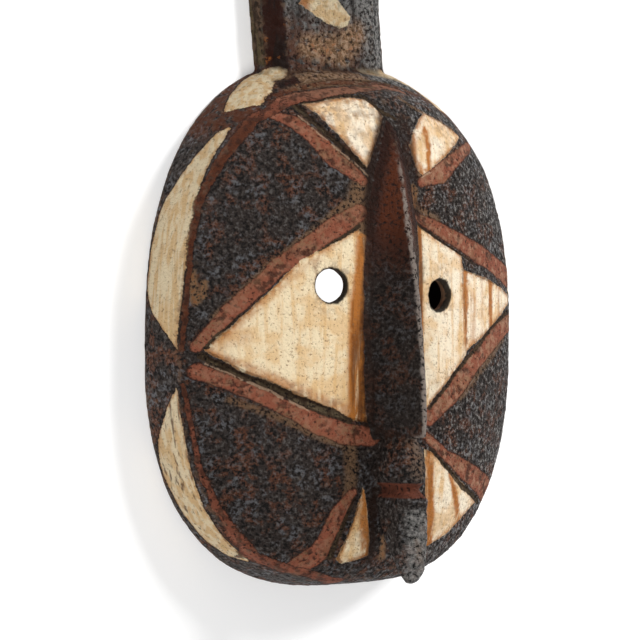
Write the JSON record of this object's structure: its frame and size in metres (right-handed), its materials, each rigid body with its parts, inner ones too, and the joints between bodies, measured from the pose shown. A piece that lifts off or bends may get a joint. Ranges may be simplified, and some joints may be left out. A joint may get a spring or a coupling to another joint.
{
  "type": "plank mask",
  "caption": "Carved and painted wooden plank mask: domed oval face with a thin nose, slit mouth and free beard, hollow behind, and a flat plank above it, lying on its back.",
  "frame": {"origin": "on the surface the mask lies on, under the middle of its bounding box", "axes": "+Z is the way the face looks, up from the surface; +Y runs from the chin up the plank; +X is to the right of someone who looks at the face"},
  "size_m": [0.2586, 0.8, 0.1125],
  "materials": {
    "painted_wood": "matt earth paints, worn and pitted, on old dark wood"
  },
  "bodies": {
    "root": {"mask": "painted_wood"}
  },
  "joints": []
}
